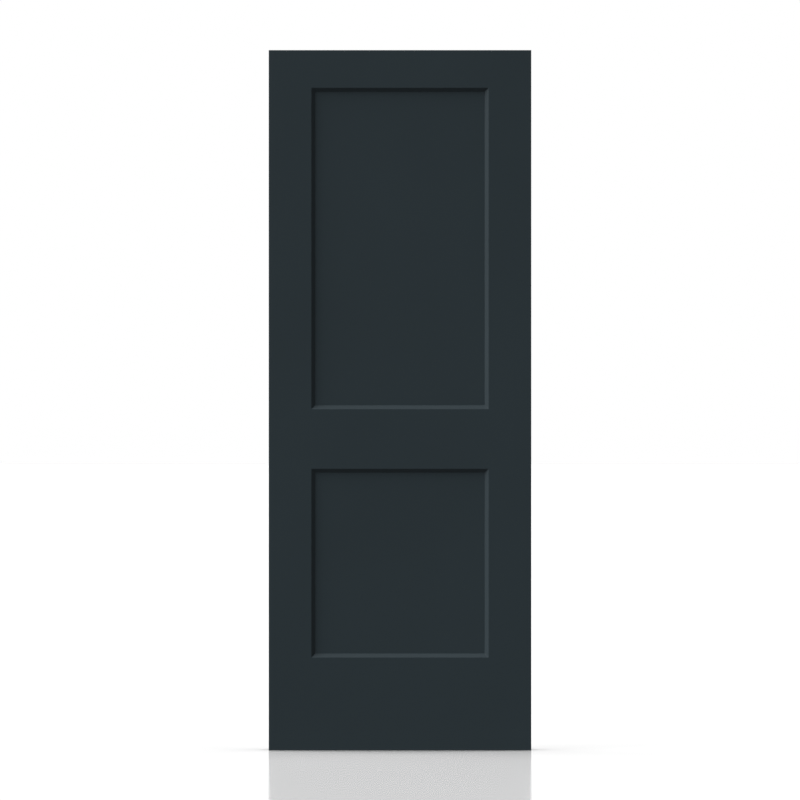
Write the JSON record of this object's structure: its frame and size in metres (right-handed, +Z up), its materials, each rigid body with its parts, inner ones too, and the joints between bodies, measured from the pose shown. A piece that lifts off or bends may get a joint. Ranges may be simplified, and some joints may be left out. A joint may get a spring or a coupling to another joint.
{
  "type": "panelled door",
  "caption": "Interior door leaf with recessed flat panels inside plain bevels, moulded skins over a hollow core, painted dark charcoal, to be hung in a doorway from either edge.",
  "frame": {"origin": "centre of the leaf's bottom edge, halfway through its thickness", "axes": "+X across the leaf to the right of someone facing its front, +Y through its thickness from front to back, +Z up its height"},
  "size_m": [0.762, 0.035, 2.032],
  "materials": {
    "painted_skin": "satin charcoal paint on pressed fibreboard",
    "painted_softwood": "satin charcoal paint on the edges that show, bare softwood inside",
    "fibreboard": "bare medium-density fibreboard",
    "kraft_paper": "plain brown kraft paper",
    "staple_wire": "galvanised wire"
  },
  "bodies": {
    "root": {"front_skin": "painted_skin", "back_skin": "painted_skin", "left_stile": "painted_softwood", "right_stile": "painted_softwood", "top_rail": "painted_softwood", "bottom_rail": "painted_softwood", "left_lock_block": "fibreboard", "right_lock_block": "fibreboard", "honeycomb_core": "kraft_paper", "corner_staples": "staple_wire"}
  },
  "joints": []
}
